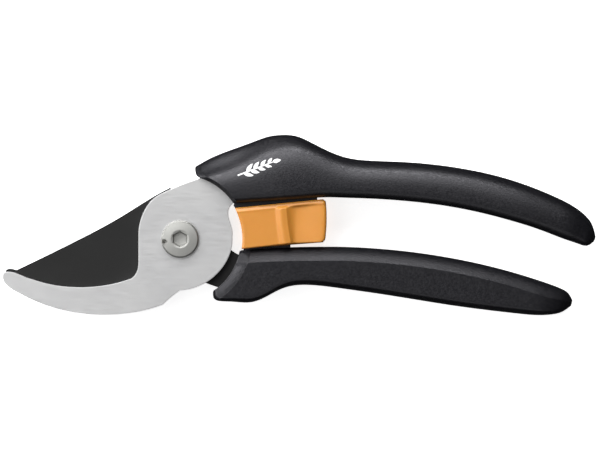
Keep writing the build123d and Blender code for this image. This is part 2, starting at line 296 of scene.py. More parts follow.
def satin_steel():
    """Stainless plate, ground along its length and blasted to an even satin."""
    material, tree, shader = new_material("satin_steel")
    streaks = noise(tree, 4200, 3, stretch=(0.05, 1, 1), turn=radians(-4))
    colour(tree, shader, patches(tree, 45, 3), (0.66, 0.66, 0.665), (0.72, 0.72, 0.72))
    sheen(tree, shader, streaks, 0.36, 0.44)
    shader.inputs["Metallic"].default_value = 1.0
    fine = bump(tree, shader, noise(tree, 3000, 3), 0.00001, 0.3)
    bump(tree, shader, streaks, 0.000004, 0.5, under=fine)
    return material


def coated_black():
    """Steel with a baked black low-friction coating."""
    material, tree, shader = new_material("coated_black")
    colour(tree, shader, patches(tree, 80, 3), (0.007, 0.007, 0.007), (0.009, 0.009, 0.009))
    sheen(tree, shader, noise(tree, 1500, 4), 0.50, 0.62)
    shader.inputs["Specular IOR Level"].default_value = 0.22
    bump(tree, shader, noise(tree, 4000, 3), 0.00001, 0.4)
    return material


def rings_about_pivot(tree, spacing):
    """Fine concentric rings about the pivot axis."""
    place = tree.nodes.new("ShaderNodeTexCoord")
    flatten = tree.nodes.new("ShaderNodeMapping")
    flatten.inputs["Scale"].default_value = (1, 1, 0)
    wave = tree.nodes.new("ShaderNodeTexWave")
    wave.wave_type = "RINGS"
    wave.rings_direction = "Z"
    wave.inputs["Scale"].default_value = 1 / spacing / 20 * 2 * pi
    wave.inputs["Distortion"].default_value = 0.6
    wave.inputs["Detail"].default_value = 2
    tree.links.new(place.outputs["Object"], flatten.inputs[0])
    tree.links.new(flatten.outputs[0], wave.inputs["Vector"])
    return wave.outputs["Fac"]


def turned_steel():
    """Stainless bolt, turned, with fine rings."""
    material, tree, shader = new_material("turned_steel")
    rings = rings_about_pivot(tree, 0.00018)
    colour(tree, shader, noise(tree, 200, 3), (0.33, 0.33, 0.315), (0.38, 0.38, 0.365))
    sheen(tree, shader, noise(tree, 1200, 4), 0.52, 0.62)
    shader.inputs["Metallic"].default_value = 1.0
    bump(tree, shader, rings, 0.000006, 0.5)
    return material


def plated_steel():
    """Zinc plated washers."""
    material, tree, shader = new_material("plated_steel")
    colour(tree, shader, noise(tree, 300, 4), (0.44, 0.44, 0.43), (0.56, 0.56, 0.55))
    sheen(tree, shader, noise(tree, 900, 4), 0.30, 0.50)
    shader.inputs["Metallic"].default_value = 1.0
    bump(tree, shader, noise(tree, 2500, 3), 0.00001, 0.4)
    return material


def spring_wire():
    """Drawn spring wire, lightly oiled."""
    material, tree, shader = new_material("spring_wire")
    colour(tree, shader, noise(tree, 400, 3), (0.30, 0.30, 0.30), (0.42, 0.42, 0.41))
    sheen(tree, shader, noise(tree, 1500, 4), 0.25, 0.42)
    shader.inputs["Metallic"].default_value = 1.0
    bump(tree, shader, noise(tree, 3500, 3), 0.00001, 0.4)
    return material


def orange_plastic():
    """Orange moulded plastic, satin, slightly clouded."""
    material, tree, shader = new_material("orange_plastic")
    colour(tree, shader, patches(tree, 120, 4), (0.465, 0.186, 0.0245), (0.500, 0.202, 0.0285))
    sheen(tree, shader, noise(tree, 700, 4), 0.36, 0.48)
    shader.inputs["Subsurface Weight"].default_value = 0.15
    shader.inputs["Subsurface Radius"].default_value = (1.0, 0.35, 0.1)
    shader.inputs["Subsurface Scale"].default_value = 0.0008
    bump(tree, shader, noise(tree, 2600, 2), 0.00002, 0.3)
    return material


def white_print():
    """Pad-printed white ink."""
    material, tree, shader = new_material("white_print")
    colour(tree, shader, noise(tree, 900, 4), (0.62, 0.62, 0.63), (0.80, 0.80, 0.80))
    sheen(tree, shader, noise(tree, 2000, 3), 0.45, 0.60)
    bump(tree, shader, noise(tree, 5200, 2), 0.00003, 0.35)
    return material


black = moulded_black()
steel = satin_steel()
coating = coated_black()
bolt_steel = turned_steel()
zinc = plated_steel()
wire = spring_wire()
orange = orange_plastic()
ink = white_print()

# ---------------------------------------------------------------- handles
# Each row is a rib across the handle: its end on the inner edge, its end on the outer edge,
# and how far the crowned and the flat side stand from the meeting plane.
upper_ribs = [
    (19.0, 12.7, 5.25, 25.75, 8.5, 9.5),
    (22.5, 12.85, 10.7, 28.8, 8.7, 9.5),
    (27.0, 13.2, 17.8, 31.7, 9.0, 9.5),
    (32.0, 13.5, 25.5, 34.5, 9.3, 9.5),
    (37.0, 13.9, 32.0, 36.7, 9.5, 9.5),
    (40.5, 14.15, 36.2, 37.15, 9.5, 9.5),
    (44.0, 14.4, 41.1, 36.8, 9.5, 9.5),
    (48.0, 14.7, 46.6, 34.5, 9.5, 9.5),
    (53.0, 14.9, 53.0, 31.3, 9.5, 9.5),
    (58.5, 14.75, 59.5, 29.0, 9.5, 9.5),
    (66.0, 14.5, 67.5, 28.0, 9.5, 9.5),
    (79.0, 13.7, 81.0, 27.4, 9.5, 9.5),
    (93.0, 12.1, 95.1, 26.0, 9.5, 9.5),
    (107.0, 9.45, 109.6, 23.35, 9.4, 9.5),
    (119.5, 6.15, 122.6, 19.55, 9.2, 9.4),
    (130.0, 2.7, 134.4, 14.75, 8.6, 9.0),
    (138.0, -0.35, 142.0, 10.5, 7.6, 8.2),
    (142.8, -2.0, 145.9, 6.8, 6.1, 6.8),
    (145.9, -2.05, 147.6, 3.1, 4.1, 4.6),
    (147.4, -0.9, 148.1, 0.8, 1.9, 2.1),
]
lower_ribs = [
    (21.2, -4.15, 11.7, -18.5, 8.4, 9.5),
    (23.1, -3.85, 11.75, -20.6, 8.6, 9.5),
    (25.3, -3.6, 13.1, -21.9, 8.8, 9.5),
    (28.5, -3.35, 17.9, -22.3, 9.0, 9.5),
    (32.0, -3.2, 24.8, -22.6, 9.2, 9.5),
    (35.8, -3.05, 30.5, -20.65, 9.4, 9.5),
    (39.6, -2.95, 35.8, -17.9, 9.5, 9.5),
    (43.8, -2.85, 41.2, -16.5, 9.5, 9.5),
    (49.0, -2.8, 48.0, -16.5, 9.5, 9.5),
    (57.0, -2.8, 57.0, -17.55, 9.5, 9.5),
    (71.2, -3.5, 71.0, -19.55, 9.5, 9.5),
    (85.4, -5.0, 84.5, -21.7, 9.5, 9.5),
    (99.7, -7.35, 97.5, -23.75, 9.5, 9.5),
    (113.0, -10.35, 110.0, -25.4, 9.3, 9.4),
    (124.0, -13.5, 120.5, -26.6, 8.8, 9.2),
    (131.4, -15.95, 128.1, -27.15, 8.0, 8.7),
    (136.1, -17.8, 133.1, -26.8, 6.6, 7.4),
    (138.7, -19.75, 136.8, -25.6, 4.4, 5.2),
    (139.8, -21.8, 139.2, -23.9, 2.0, 2.3),
]
rib_spacing = 1.1
arc_reach = 7.0  # ribs this near the hollow end are arcs about the pivot
arc_fade = 34.0  # and turn straight over this length


def handle_profile(width, crowned, flat):
    """Loop across a handle: distance from the inner edge, and height over the meeting plane.

    The crowned side is up. The flat side has a rounded shoulder that meets the flat at a crease.
    """
    inner_round = min(3.0, 0.25 * width)
    crease = min(4.9, 0.42 * width)
    outer_round = min(2.6, 0.2 * width)
    shoulder = min(6.5, 0.68 * flat)
    pieces = [
        bezier(
            (crease, -flat),
            (0.6 * crease, 0.24 * shoulder - flat),
            (0, 0.55 * shoulder - flat),
            (0, shoulder - flat),
            14,
        ),
        np.linspace((0, shoulder - flat), (0, crowned - inner_round), 7, endpoint=False),
        bezier(
            (0, crowned - inner_round),
            (0, crowned - 0.45 * inner_round),
            (0.45 * inner_round, crowned),
            (inner_round, crowned),
            8,
        ),
        bezier((inner_round, crowned), (0.62 * width, crowned), (width, 0.82 * crowned), (width, 0), 28),
        bezier(
            (width, 0),
            (width, -0.62 * flat),
            (width - 0.2 * outer_round, -flat),
            (width - outer_round, -flat),
            16,
        ),
        np.linspace((width - outer_round, -flat), (crease, -flat), 9, endpoint=False),
    ]
    return np.concatenate(pieces)[::-1]


def end_radius(row, share, ear):
    """Distance from the pivot along the hollow end.

    `ear` is how sharply its outer corner turns out.
    """
    inner_r = np.hypot(*row[:2])
    return inner_r + (np.hypot(*row[2:4]) - inner_r) * np.clip(share, 0, 1) ** ear


def handle_body(name, ribs, facing, end_round, ear, bevel_run, bevel_drop):
    """Handle from its ribs. `facing` is 1 where the crowned side is up and -1 where it is down.

    The bevel runs along the hollow end on the front face.
    """
    rows = np.array(ribs)
    middle = 0.5 * (rows[:, :2] + rows[:, 2:4])
    places = np.concatenate([[0], np.cumsum(np.hypot(*np.diff(middle, axis=0).T))])
    curve = fair_curve(places, rows)
    length = places[-1]
    # Rings crowd together at the end's rounded edge and where the bevel ends.
    near_end = end_round * (1 - np.cos(np.linspace(0, 0.5 * pi, 6)))
    bevel_places = np.linspace(end_round, bevel_run - 0.3, 5)[1:]
    bevel_edge = np.linspace(bevel_run - 0.15, bevel_run + 0.3, 4)
    count = int(length / rib_spacing)
    body_places = np.linspace(bevel_run + 0.9, length, count)
    stops = np.concatenate([near_end, bevel_places, bevel_edge, body_places])
    rings = []
    for place in stops:
        row = curve(place)
        inner, outer = row[:2], row[2:4]
        width = np.hypot(*(outer - inner))
        sides = row[4:6].copy()
        sides[0 if facing > 0 else 1] -= bevel_drop * max(0.0, 1 - place / bevel_run)
        loop = handle_profile(width, *sides)
        inset = end_round - sqrt(max(0.0, end_round**2 - max(0.0, end_round - place) ** 2))
        loop = loop - outward(loop) * inset
        across = loop[:, 0] / width
        straight = inner + (outer - inner) * across[:, None]
        radii = end_radius(row, across, ear)
        start, end = atan2(inner[1], inner[0]), atan2(outer[1], outer[0])
        angles = start + (end - start) * across
        curved = np.column_stack([radii * np.cos(angles), radii * np.sin(angles)])
        fade = np.clip((place - arc_reach) / arc_fade, 0, 1)
        hold = 1 - fade * fade * (3 - 2 * fade)
        flat_places = straight * (1 - hold) + curved * hold
        rings.append([(x, y, meeting + facing * h) for (x, y), h in zip(flat_places, loop[:, 1])])
    return make_mesh(name, *close_end(rings, curve(0), ear))


def close_end(rings, row, ear):
    """Adds rings that shrink over the hollow end, so that its wall follows the hollow."""
    first = np.array(rings[0])
    start, end = atan2(row[1], row[0]), atan2(row[3], row[2])
    shares = (np.arctan2(first[:, 1], first[:, 0]) - start) / (end - start)
    heights = first[:, 2]
    mid_height = 0.5 * (heights.max() + heights.min())
    caps = []
    for k in np.linspace(0.04, 1, 10, endpoint=False):
        share = 0.5 + (shares - 0.5) * k
        radii = end_radius(row, share, ear)
        angle = start + (end - start) * share
        height = mid_height + (heights - mid_height) * k
        caps.append(list(zip(radii * np.cos(angle), radii * np.sin(angle), height)))
    return skin(caps + rings)


def sloped_block(left, right, bottom, height, half):
    """Block along the catch's slope, each side of the meeting plane."""
    rise = slide_slope * (right - left)
    outline = [
        (left, bottom),
        (right, bottom + rise),
        (right, bottom + rise + height),
        (left, bottom + height),
    ]
    return prism("block", outline, meeting - half, meeting + half)


def spring_hole(floor, mouth):
    """Ring-shaped hole along Y, with a post left standing in the middle."""
    direction = 1 if mouth > floor else -1
    profile = [
        (post_r, floor),
        (pocket_r, floor),
        (pocket_r, mouth),
        (0.01, mouth),
        (0.01, floor + direction * post_height),
        (post_r, floor + direction * post_height),
    ]
    rings = []
    for angle in np.linspace(0, 2 * pi, 48, endpoint=False):
        rings.append([(spring_x + r * cos(angle), y, meeting + r * sin(angle)) for r, y in profile])
    count = len(profile)
    points = [point for ring in rings for point in ring]
    faces = []
    for k in range(len(rings)):
        after = (k + 1) % len(rings)
        for i in range(count):
            j = (i + 1) % count
            faces.append((k * count + i, k * count + j, after * count + j, after * count + i))
    return make_mesh("hole", points, faces)


past = 1.0  # how far a cutter runs past the face that it opens
pocket_r = spring_outer + 0.45
post_r = 1.9
post_height = 4.0
spring_gap = 0.05  # between the spring's ends and their seats
upper_mouth, lower_mouth = 6.5, 3.5  # how far the spring's holes reach
tongue_left, tongue_bottom, tongue_half = 20.0, 8.0, 5.0
tongue_end_r = 22.5  # its left end is an arc about the pivot, just behind the catch's
tongue_end_degrees = (32, 20.9)
tongue_right = low("catch", 0) + 29.3
tongue_depth = 7.5
tongue_root = (19.5, 13.5)  # its upper left corner, inside the handle
groove_past = 0.3
rib_inner = 4.2  # inner face of the catch's ribs, from the meeting plane
rib_bottom = 9.6 + slide_slope * 0.2
rib_height = 1.2
rib_gap = 0.3
stop_lip_r = 15.9
stop_lip_degrees = (38, 72)
hollow_r = 23.0
tower = (22.6, 39.3, -7.0, 1.8)  # left, right, foot and top
tower_half = 3.8
lock_slot = (36.6, -1.9, 0.3)  # left end, floor and roof
guide_ribs = (30.3, 31.0, 31.7)  # fine ribs on the tower's faces
guide_rib_foot, guide_rib_top = -4.6, -1.7
guide_rib_half = 0.14
guide_rib_stand = 0.5


def box_outline(left, right, bottom, top):
    return [(left, bottom), (right, bottom), (right, top), (left, top)]


def shifted(thing, rise):
    """Moves a thing's mesh along the pivot axis."""
    thing.data.transform(Matrix.Translation((0, 0, rise * mm)))
    return thing


def upper_grip():
    """Upper handle: crowned in front, with the tongue, the stop lip and the spring's pocket."""
    grip = handle_body("upper_grip", upper_ribs, 1, 0.2, 26, bevel_run=2.0, bevel_drop=1.9)
    tongue_end = arc(tongue_end_r, *tongue_end_degrees, 8)
    tongue_rise = tongue_bottom + slide_slope * (tongue_right - tongue_left)
    inside_handle = [
        (tongue_right, tongue_rise),
        (tongue_right, tongue_rise + tongue_depth),
        tongue_root,
    ]
    tongue = prism(
        "tongue",
        np.concatenate([tongue_end, inside_handle]),
        meeting - tongue_half,
        meeting + tongue_half,
    )
    lip_face = arc(stop_lip_r, *stop_lip_degrees, 14)
    lip_root = arc(hollow_r + 1.4, *stop_lip_degrees[::-1], 14)
    lip = np.concatenate([lip_face, lip_root])[::-1]
    stop_lip = prism("stop_lip", lip, blade_bottom - 1, meeting - 0.1)
    combine(grip, [tongue, stop_lip], "UNION")
    half_width = 0.5 * (tongue_half + rib_gap - rib_inner) + 0.5 * groove_past
    cuts = [spring_hole(spring_high + spring_gap, upper_mouth)]
    for side in (-1, 1):
        groove = sloped_block(
            tongue_left - past,
            tongue_right + past,
            rib_bottom - rib_gap - slide_slope,
            rib_height + 2 * rib_gap,
            half_width,
        )
        cuts.append(shifted(groove, side * (rib_inner - rib_gap + half_width)))
    combine(grip, cuts, "DIFFERENCE")
    smooth(grip)
    return finish_piece(grip, black, "handle_plastic", "front_lever", "upper_handle")


def lower_grip():
    """Lower handle: creased in front, with the tower that holds the spring and the lock's lip."""
    grip = handle_body("lower_grip", lower_ribs, -1, 0.3, 1, bevel_run=3.2, bevel_drop=3.2)
    added = [prism("tower", box_outline(*tower), meeting - tower_half, meeting + tower_half)]
    reach = tower_half + guide_rib_stand
    for x in guide_ribs:
        sides = (x - guide_rib_half, x + guide_rib_half)
        outline = box_outline(*sides, guide_rib_foot, guide_rib_top)
        added.append(prism("guide_rib", outline, meeting - reach, meeting + reach))
    combine(grip, added, "UNION")
    slot = box_outline(lock_slot[0], tower[1] + past, lock_slot[1], lock_slot[2])
    cuts = [
        prism("slot", slot, meeting - tower_half - past, meeting + tower_half + past),
        spring_hole(spring_low - spring_gap, lower_mouth),
    ]
    combine(grip, cuts, "DIFFERENCE")
    smooth(grip)
    return finish_piece(grip, black, "handle_plastic", "rear_lever", "lower_handle")


upper = upper_grip()
lower_grip()


# ---------------------------------------------------------------- leaf mark
print_height = 0.04
stem_root = np.array([20.6, 22.6])
stem_degrees = 21.0
stem_length = 14.2
stem_points = 30
leaf_pairs = 4
leaf_degrees = 42  # from the stem
leaf_bend = -14.0
leaf_length, leaf_width = 3.6, 1.3
leaf_shorter, leaf_narrower = 0.35, 0.08  # from each pair to the next
leaf_steps = 12


def surface_finder(thing):
    """Function that gives the height of a thing's front face over a place, in millimetres."""
    points = [v.co for v in thing.data.vertices]
    tree = BVHTree.FromPolygons(points, [p.vertices[:] for p in thing.data.polygons])

    def height(x, y):
        return tree.ray_cast(Vector((x * mm, y * mm, 1)), Vector((0, 0, -1)))[0].z / mm

    return height


def printed_strip(height, middles, half_widths):
    """Rings of a thin raised strip along a middle line, laid on the handle's face."""
    middles = np.asarray(middles, float)
    along = np.gradient(middles, axis=0)
    along /= np.linalg.norm(along, axis=1)[:, None]
    side = np.column_stack([-along[:, 1], along[:, 0]])
    rings = []
    for spot, direction, half in zip(middles, side, half_widths):
        across = [spot + direction * half * k for k in (1, 0.5, 0, -0.5, -1)]
        front = [(*p, height(*p) + print_height) for p in across]
        back = [(*p, height(*p) - print_height) for p in reversed(across)]
        rings.append(front + back)
    return rings


def leaf(height, root, degrees, length, width):
    """Pointed leaf that bends a little towards its tip."""
    shares = np.linspace(0, 1, leaf_steps + 1)
    turn = np.radians(degrees + leaf_bend * shares * np.sign(degrees - stem_degrees))
    steps = np.column_stack([np.cos(turn), np.sin(turn)]) * length / leaf_steps
    middles = root + np.concatenate([[[0, 0]], np.cumsum(steps[1:], axis=0)])
    half_widths = 0.5 * width * np.sin(pi * shares**0.8) ** 0.85 + 0.02
    return printed_strip(height, middles, half_widths)


def leaf_mark():
    """White sprig of leaves printed on the upper handle."""
    height = surface_finder(upper)
    ahead = np.array([cos(radians(stem_degrees)), sin(radians(stem_degrees))])
    stem = [stem_root + ahead * stem_length * k for k in np.linspace(0, 1, stem_points)]
    strips = [printed_strip(height, stem, np.linspace(0.26, 0.14, stem_points))]
    for k in range(leaf_pairs):
        root = stem_root + ahead * stem_length * (0.20 + 0.19 * k)
        size = (leaf_length - leaf_shorter * k, leaf_width - leaf_narrower * k)
        for side in (-1, 1):
            degrees = stem_degrees + side * leaf_degrees
            strips.append(leaf(height, root + ahead * 0.6 * side, degrees, *size))
    last_root = stem_root + ahead * stem_length * 0.94
    strips.append(leaf(height, last_root, stem_degrees + 0.01, 3.0, 1.4))
    points, faces = [], []
    for strip in strips:
        strip_points, strip_faces = skin(strip)
        faces += [tuple(len(points) + i for i in face) for face in strip_faces]
        points += strip_points
    return finish_piece(make_mesh("leaf_mark", points, faces), ink, "handle_plastic", "front_lever")


leaf_mark()


# ---------------------------------------------------------------- blades
def face_loops(node, height):
    """Ordered edges of a CAD node's flat face at a height: the outer loop first, then holes."""
    mesh = nodes[node].data
    mesh.calc_loop_triangles()
    spots = [tuple(round(c / mm, 4) for c in v.co) for v in mesh.vertices]
    edges = {}
    for triangle in mesh.loop_triangles:
        corners = [spots[i] for i in triangle.vertices]
        if all(abs(corner[2] - height) < 0.001 for corner in corners):
            for a, b in zip(corners, corners[1:] + corners[:1]):
                if (b, a) in edges:
                    del edges[(b, a)]
                else:
                    edges[(a, b)] = True
    following = dict(edges.keys())
    loops = []
    while following:
        start = next(iter(following))
        loop = [start]
        spot = following.pop(start)
        while spot != start:
            loop.append(spot)
            spot = following.pop(spot)
        loops.append(np.array(loop)[:, :2])
    return sorted(loops, key=lambda loop: -np.ptp(loop[:, 0]))


def area(loop):
    """Area inside a loop, positive where it runs anticlockwise."""
    x, y = loop.T
    return 0.5 * np.sum(x * np.roll(y, -1) - np.roll(x, -1) * y)


def even_loop(loop, spacing):
    """Adds points on long edges, and keeps the corners."""
    points = []
    for a, b in zip(loop, np.roll(loop, -1, axis=0)):
        steps = max(1, int(np.hypot(*(b - a)) / spacing))
        points.extend(a + (b - a) * k / steps for k in range(steps))
    return np.array(points)


level_ring = 0.3  # width of the level faces inside a softened edge
edge_steps = 3


def rounded_plate(name, loops, bottom, top, edge):
    """Plate with softened edges on an outer loop and holes.

    A ring of level faces inside each edge keeps the flat faces' shading flat.
    """
    low_levels = [(edge + level_ring, bottom)]
    for k in range(edge_steps, -1, -1):
        angle = 0.5 * pi * k / edge_steps
        low_levels.append((edge * (1 - cos(angle)), bottom + edge * (1 - sin(angle))))
    levels = low_levels + [(inset, top + bottom - z) for inset, z in reversed(low_levels)]
    points, faces = [], []
    for number, loop in enumerate(loops):
        if (area(loop) > 0) != (number == 0):
            loop = loop[::-1]
        normals = outward(loop)
        rings = [[(*spot, z) for spot in loop - normals * inset] for inset, z in levels]
        ring_points, ring_faces = skin(rings, capped=False)
        faces += [tuple(len(points) + i for i in face) for face in ring_faces]
        points += ring_points
    thing = make_mesh(name, points, faces)
    shape = bmesh.new()
    shape.from_mesh(thing.data)
    for z in (bottom, top):
        edges = [e for e in shape.edges if e.is_boundary and abs(e.verts[0].co.z - z * mm) < 1e-6]
        bmesh.ops.triangle_fill(shape, edges=edges, use_beauty=True)
    bmesh.ops.recalc_face_normals(shape, faces=shape.faces)
    shape.to_mesh(thing.data)
    shape.free()
    return thing


hook_loops = [even_loop(loop, 1.0) for loop in face_loops("hook_plate", hook_top)]
hook = rounded_plate("hook_blade", hook_loops, low("hook_plate", 2), hook_top, 0.04)
smooth(hook, 25)
finish_piece(hook, steel, "satin_steel", "front_lever", "hook_plate")


def soften(node, material, edge):
    """Gives a CAD node its material and softens its sharp edges."""
    thing = nodes[node]
    thing.data.materials.clear()
    thing.data.materials.append(material)
    weld = thing.modifiers.new("weld", "WELD")
    weld.merge_threshold = 1e-6
    rounding = thing.modifiers.new("rounding", "BEVEL")
    rounding.width = edge * mm
    rounding.segments = 2
    rounding.limit_method = "ANGLE"
    rounding.angle_limit = radians(35)


soften("cutting_blade", coating, 0.12)
soften("pivot_nut", bolt_steel, 0.15)
soften("pivot_washer", zinc, 0.08)
soften("spring_washer", zinc, 0.05)


# ---------------------------------------------------------------- bolt
shoulder_r, thread_r, thread_tip_r = 4.0, 3.0, 2.5
chamfer_r = head_r - 0.55
chamfer_top = hook_top + 2.2
dome_r = 3.15
dome_turn = 0.34 * pi
socket_steps = ((5.1, 0.1), (4.5, 1.0), (4.2, 1.5))  # size across the flats, and depth
socket_floor = 1.6
punch_place = (-5.65, -1.1)
punch_r = 1.25


def turned_ring(r, count):
    """Points of a whole circle about the pivot."""
    return [(r * cos(2 * pi * k / count), r * sin(2 * pi * k / count)) for k in range(count)]


def socket_ring(across, share, count):
    """Ring that runs from a circle (share 0) to a hexagon (share 1) of that size across."""
    points = []
    for k in range(count):
        angle = 2 * pi * k / count
        flat = 0.5 * across / cos((angle + pi / 6) % (pi / 3) - pi / 6)
        round_r = 0.5 * across / cos(pi / 6)
        r = round_r + (flat - round_r) * share
        points.append((r * cos(angle), r * sin(angle)))
    return points


def pivot_bolt():
    """Domed button head with a hexagon socket and a punch mark, over the shoulder and thread."""
    count = 96
    profile = [
        (0.02, 1.0),
        (thread_tip_r, 1.0),
        (thread_r, 1.5),
        (thread_r, blade_bottom - 0.3),
        (shoulder_r, blade_bottom - 0.3),
        (shoulder_r, hook_top + 0.01),
        (head_r - 0.3, hook_top + 0.01),
        (head_r - 0.08, hook_top + 0.1),
        (head_r, hook_top + 0.3),
        (head_r, hook_top + 1.3),
        (head_r - 0.05, hook_top + 1.4),
        (chamfer_r + 0.05, chamfer_top - 0.07),
    ]
    for share in np.linspace(0, 1, 12):
        rise = sin(dome_turn * share) / sin(dome_turn)
        r = chamfer_r - (chamfer_r - dome_r) * share
        profile.append((r, chamfer_top + (head_top - chamfer_top) * rise))
    profile += [(dome_r - 0.05, head_top - 0.02)]
    rings = [[(x, y, z) for x, y in turned_ring(r, count)] for r, z in profile]
    for across, drop in socket_steps:
        rings.append([(x, y, head_top - drop) for x, y in socket_ring(across, 1.0, count)])
    floor_ring = socket_ring(socket_steps[-1][0], 0.5, count)
    rings.append([(0.3 * x, 0.3 * y, head_top - socket_floor) for x, y in floor_ring])
    thing = make_mesh("button_bolt", *skin(rings))
    punch = arc(0.05, 0, 330, 12, punch_place), arc(punch_r, 0, 330, 12, punch_place)
    tip, mouth = ([(x, y, hook_top + z) for x, y in ring] for ring, z in zip(punch, (0.8, 2.5)))
    combine(thing, [make_mesh("punch", *skin([tip, mouth]))], "DIFFERENCE")
    smooth(thing, 28)
    return finish_piece(thing, bolt_steel, "bolt_steel", "front_lever", "pivot_bolt")


pivot_bolt()


# ---------------------------------------------------------------- catch
catch_inner = 5.5
panel_height = 7.35  # outer face left of the ridge, from the meeting plane
scoop_height = 6.5  # deepest place, at the top beside the ridge
rim_width = 1.3
rim_drop = 0.6  # how much the rim falls towards its outer edge
catch_end_r = 22.2
web_left, web_right = 49.5, high("catch", 0) - 0.1
face_height = 14.6
corner_r = 1.1  # at the right end
catch_edge = 0.5  # rounding of the lower and upper edges
lock_bar_width = 2.6
wall_bite = 0.2  # how far the ribs and the bar run into the walls


def catch_left(level):
    """Left edge of the catch at a share of its height, on an arc about the pivot."""
    return catch_end_r * cos(radians(-8.9 + 37.2 * level))


def catch_bottom(x):
    """Lower edge of the catch, which turns level past the spring's tower."""
    if x < 39.3:
        return -3.5 + (x - 22.3) * (1.9 / 17.0)
    return -1.6 + (x - 39.3) * 0.036


def catch_top(x):
    """Upper edge of the catch."""
    return 11.1 + (x - 20.0) * 0.1


def ease(value, start, end):
    """0 before start and 1 after end, with a smooth rise between them."""
    share = np.clip((value - start) / (end - start), 0, 1)
    return share * share * (3 - 2 * share)


def catch_surface(x, share):
    """Height of the outer face at a place along the catch and a share of its height."""
    level = float(np.clip(share, 0, 1))
    left = catch_left(level)
    ridge_left = 34.9 - 1.6 * level + 0.9 * (level - 0.5) ** 2
    ridge_right = 39.3 - 1.9 * level + 0.9 * (level - 0.5) ** 2
    hollow_length = 1.6 + 3.4 * level
    scoop = scoop_height + 0.55 * (1 - level) + 0.75 * ease(x, ridge_right + hollow_length, 52.0)
    if x < ridge_left:
        height = panel_height
    elif x < ridge_right:
        height = panel_height + (catch_half - panel_height) * ease(x, ridge_left, ridge_left + 2.2)
        height -= 0.25 * ease(x, ridge_left + 2.4, ridge_right)
    else:
        fall = min(1.0, (x - ridge_right) / hollow_length)
        height = catch_half - 0.25 + (scoop - catch_half + 0.25) * (1 - (1 - fall) ** 2.2)
    from_top = (1 - level) * face_height
    rim_height = panel_height - rim_drop * (1 - from_top / rim_width)
    height += (rim_height - height) * (1 - ease(from_top, rim_width - 0.3, rim_width + 0.7))
    return height - 0.7 * (1 - ease(x, left - 0.5, left + 0.9))


def catch_loop(share, inset):
    """Channel-shaped loop at one height: round the outside, then back along the inside."""
    level = float(np.clip(share, 0, 1))
    left = catch_left(level)
    right = web_right - 0.5 * (2 * level - 1) ** 2 - 0.25 * (1 - level)
    right -= 0.8 * max(0.0, 0.06 - level) / 0.06 + 0.9 * max(0.0, level - 0.94) / 0.06
    spans = [(left, left + 1.0, 6), (left + 1.0, 32.4, 12), (32.4, 42.0, 48), (42.0, right - corner_r, 14)]
    xs = np.concatenate([np.linspace(a, b, n, endpoint=False) for a, b, n in spans])
    front = [(x, catch_surface(x, share) - inset) for x in xs]
    end_height = front[-1][1]
    for angle in np.linspace(0, 0.5 * pi, 7):
        front.append((right - corner_r + corner_r * sin(angle), end_height - corner_r * (1 - cos(angle))))
    back = [(x, -h) for x, h in reversed(front)]
    inner_x = np.linspace(left, web_left, 30)
    inside_back = [(x, -catch_inner) for x in inner_x]
    inside_front = [(x, catch_inner) for x in reversed(inner_x)]
    return front + back + inside_back + inside_front


def slide_catch():
    """Channel with a thumb ridge on both faces, its ribs and its lock bar."""
    low_rows = []
    for turn in np.linspace(0, 0.5 * pi, 6):
        low_rows.append((catch_edge * (1 - cos(turn)) / face_height, catch_edge * (1 - sin(turn))))
    middle_rows = [(share, 0.0) for share in np.linspace(0.05, 0.87, 26)]
    rim_rows = [(share, 0.0) for share in np.linspace(0.878, 0.975, 18)]
    top_rows = [(1 - share, inset) for share, inset in reversed(low_rows)]
    rings = []
    for share, inset in low_rows + middle_rows + rim_rows + top_rows:
        ring = []
        for x, h in catch_loop(share, inset):
            y = catch_bottom(x) + (catch_top(x) - catch_bottom(x)) * share
            ring.append((x, y, meeting + h))
        rings.append(ring)
    thing = make_mesh("slide_catch", *skin(rings))
    bar_left = tower[1] + rib_gap
    bar_levels = (lock_slot[1] + 0.45, lock_slot[2] - 0.3)
    bar = box_outline(bar_left, bar_left + lock_bar_width, *bar_levels)
    added = [prism("lock_bar", bar, meeting - catch_inner - wall_bite, meeting + catch_inner + wall_bite)]
    half_width = 0.5 * (catch_inner + wall_bite - rib_inner)
    for side in (-1, 1):
        rib = sloped_block(22.0, web_left - 2, rib_bottom + 1.8 * slide_slope, rib_height, half_width)
        added.append(shifted(rib, side * (rib_inner + half_width)))
    combine(thing, added, "UNION")
    smooth(thing, 40)
    return finish_piece(thing, orange, "catch_plastic", "catch", "catch")


slide_catch()


